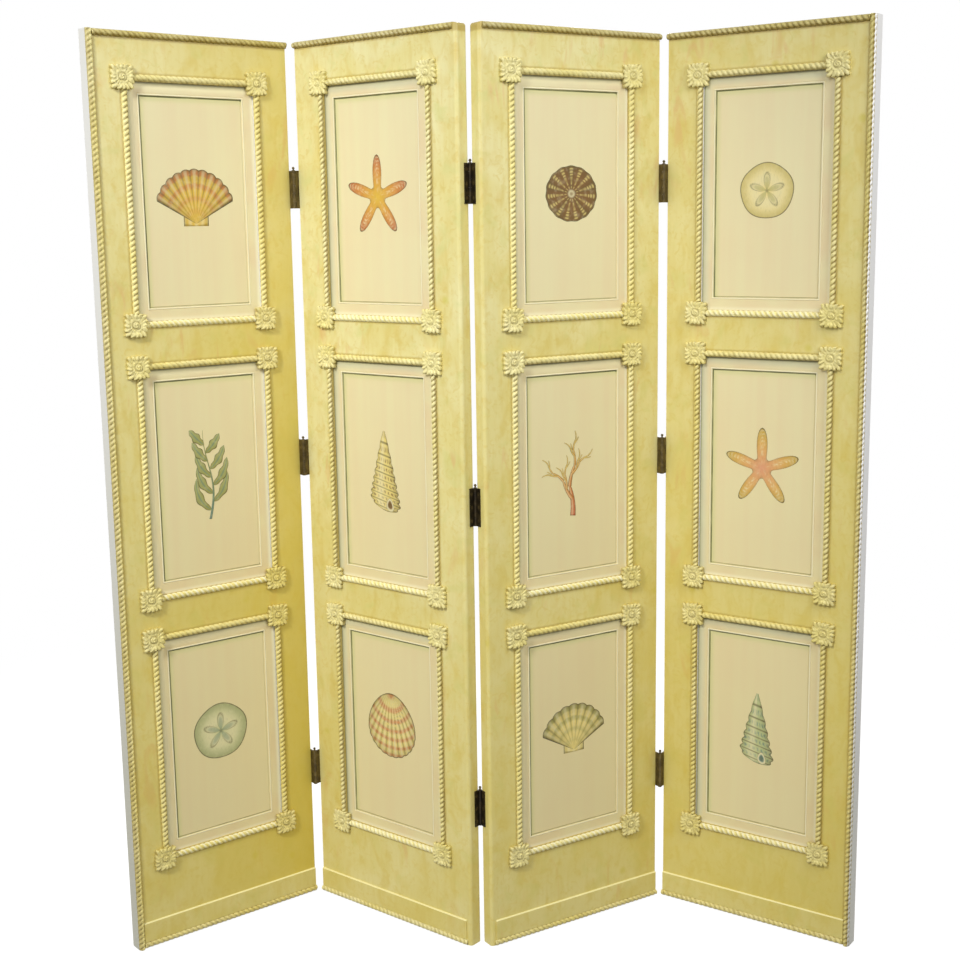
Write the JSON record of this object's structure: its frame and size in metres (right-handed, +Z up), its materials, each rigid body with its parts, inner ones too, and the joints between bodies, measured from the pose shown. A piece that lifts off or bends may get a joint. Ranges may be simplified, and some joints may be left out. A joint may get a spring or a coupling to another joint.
{
  "type": "folding screen",
  "caption": "Tall folding screen of hinged framed panels with rope mouldings, corner rosettes, sunk insert boards with painted sea motifs and bronze butt hinges.",
  "frame": {"origin": "on the floor under the middle of the open screen's bounding box", "axes": "+Z up, the painted fronts face -Y, +X to the right of someone who faces the fronts"},
  "size_m": [1.4868, 0.2966, 1.829],
  "materials": {
    "frame_paint": "pale yellow faux marble paint on timber, satin",
    "insert_paint": "cream paint with painted sea motifs, satin",
    "moulding_paint": "cream yellow paint with ochre glaze in the carving, satin",
    "hinge_bronze": "dark antique bronze, worn",
    "screw_bronze": "dark antique bronze"
  },
  "bodies": {
    "panel_1": {"panel_1_left_stile": "frame_paint", "panel_1_right_stile": "frame_paint", "panel_1_bottom_rail": "frame_paint", "panel_1_lower_rail": "frame_paint", "panel_1_upper_rail": "frame_paint", "panel_1_top_rail": "frame_paint", "panel_1_inserts": "insert_paint", "panel_1_opening_ropes": "moulding_paint", "panel_1_rosettes": "moulding_paint", "panel_1_edge_ropes": "moulding_paint", "panel_1_plinth": "frame_paint", "left_valley_left_leaves": "hinge_bronze", "left_valley_left_screws": "screw_bronze", "left_valley_pins": "hinge_bronze"},
    "panel_2": {"panel_2_left_stile": "frame_paint", "panel_2_right_stile": "frame_paint", "panel_2_bottom_rail": "frame_paint", "panel_2_lower_rail": "frame_paint", "panel_2_upper_rail": "frame_paint", "panel_2_top_rail": "frame_paint", "panel_2_inserts": "insert_paint", "panel_2_opening_ropes": "moulding_paint", "panel_2_rosettes": "moulding_paint", "panel_2_edge_ropes": "moulding_paint", "panel_2_plinth": "frame_paint", "left_valley_right_leaves": "hinge_bronze", "left_valley_right_screws": "screw_bronze", "ridge_left_leaves": "hinge_bronze", "ridge_left_screws": "screw_bronze", "ridge_pins": "hinge_bronze"},
    "panel_3": {"panel_3_left_stile": "frame_paint", "panel_3_right_stile": "frame_paint", "panel_3_bottom_rail": "frame_paint", "panel_3_lower_rail": "frame_paint", "panel_3_upper_rail": "frame_paint", "panel_3_top_rail": "frame_paint", "panel_3_inserts": "insert_paint", "panel_3_opening_ropes": "moulding_paint", "panel_3_rosettes": "moulding_paint", "panel_3_edge_ropes": "moulding_paint", "panel_3_plinth": "frame_paint", "ridge_right_leaves": "hinge_bronze", "ridge_right_screws": "screw_bronze", "right_valley_left_leaves": "hinge_bronze", "right_valley_left_screws": "screw_bronze", "right_valley_pins": "hinge_bronze"},
    "panel_4": {"panel_4_left_stile": "frame_paint", "panel_4_right_stile": "frame_paint", "panel_4_bottom_rail": "frame_paint", "panel_4_lower_rail": "frame_paint", "panel_4_upper_rail": "frame_paint", "panel_4_top_rail": "frame_paint", "panel_4_inserts": "insert_paint", "panel_4_opening_ropes": "moulding_paint", "panel_4_rosettes": "moulding_paint", "panel_4_edge_ropes": "moulding_paint", "panel_4_plinth": "frame_paint", "right_valley_right_leaves": "hinge_bronze", "right_valley_right_screws": "screw_bronze"}
  },
  "joints": [
    {"name": "left_valley_fold", "type": "hinge", "parent": "panel_2", "child": "panel_1", "pos_m": [-0.38689, 0.11802, 0], "axis": [0, 0, 1], "range_deg": [-77.6, 102.4]},
    {"name": "ridge_fold", "type": "hinge", "parent": "panel_2", "child": "panel_3", "pos_m": [-0.02011, -0.11302, 0], "axis": [0, 0, 1], "range_deg": [-71.1, 108.9]},
    {"name": "right_valley_fold", "type": "hinge", "parent": "panel_3", "child": "panel_4", "pos_m": [0.36576, 0.0845, 0], "axis": [0, 0, 1], "range_deg": [-112.9, 67.1]}
  ]
}
